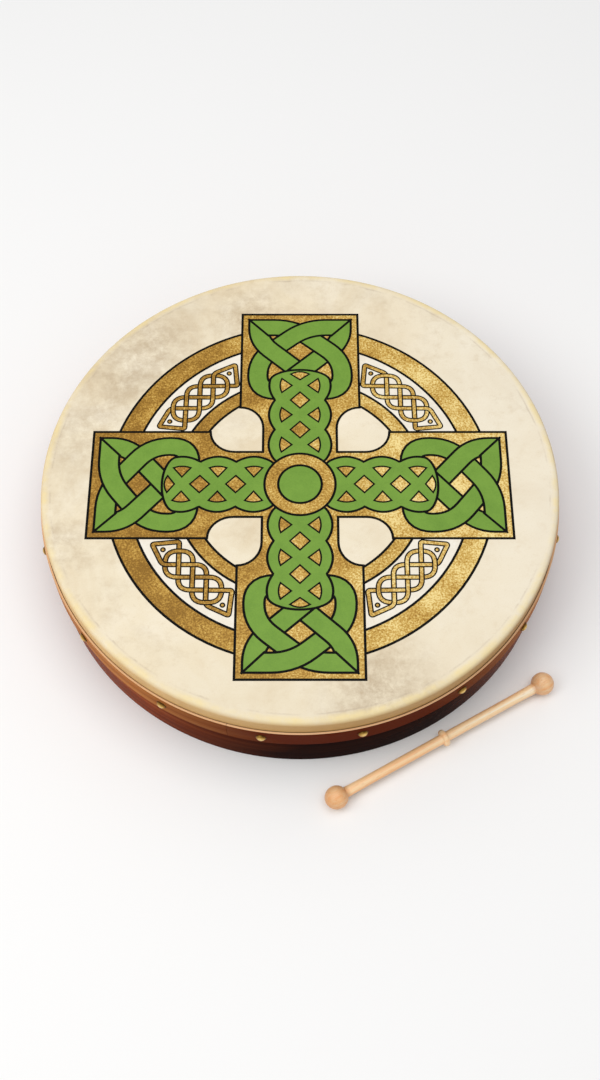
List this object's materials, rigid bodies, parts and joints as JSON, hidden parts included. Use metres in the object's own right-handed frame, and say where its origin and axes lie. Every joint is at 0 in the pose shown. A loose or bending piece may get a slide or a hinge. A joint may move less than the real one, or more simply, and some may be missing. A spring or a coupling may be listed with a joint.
{
  "type": "frame drum with beater",
  "caption": "Hand-held frame drum: a tacked goatskin head on a bent wooden rim, with crossbars across its open back and a double-ended wooden beater beside it.",
  "frame": {"origin": "on the drum's axis, in the plane of the back edge that it lies on", "axes": "+Z along the drum's axis from the open back towards the skin; -Y towards the front, where the tipper lies; +X to the right"},
  "size_m": [0.458, 0.5002, 0.089],
  "materials": {
    "rim_wood": "dark maroon stain under gloss varnish",
    "goatskin": "scraped goatskin, matt, mottled, with a printed ringed cross",
    "band_wood": "reddish-brown satin varnish, raw pale edges",
    "tack_brass": "slightly tarnished",
    "crossbar_wood": "stained, satin",
    "block_wood": "stained, satin",
    "screw_steel": "zinc plated",
    "tipper_wood": "pale beech, sanded and waxed"
  },
  "bodies": {
    "drum": {"rim_outer_ply": "rim_wood", "rim_inner_ply": "rim_wood", "skin_head": "goatskin", "tack_band": "band_wood", "tack_01": "tack_brass", "tack_02": "tack_brass", "tack_03": "tack_brass", "tack_04": "tack_brass", "tack_05": "tack_brass", "tack_06": "tack_brass", "tack_07": "tack_brass", "tack_08": "tack_brass", "tack_09": "tack_brass", "tack_10": "tack_brass", "tack_11": "tack_brass", "tack_12": "tack_brass", "tack_13": "tack_brass", "tack_14": "tack_brass", "tack_15": "tack_brass", "tack_16": "tack_brass", "crossbar_x": "crossbar_wood", "crossbar_y": "crossbar_wood", "bar_block_1": "block_wood", "bar_block_2": "block_wood", "bar_block_3": "block_wood", "bar_block_4": "block_wood", "bar_screw_1": "screw_steel", "bar_screw_2": "screw_steel", "bar_screw_3": "screw_steel", "bar_screw_4": "screw_steel", "lap_screw": "screw_steel"},
    "tipper": {"tipper": "tipper_wood"}
  },
  "joints": [
    {"name": "tipper_lift", "type": "slide", "parent": "drum", "child": "tipper", "axis": [0, 0, 1], "range_m": [0, 0.25]}
  ]
}
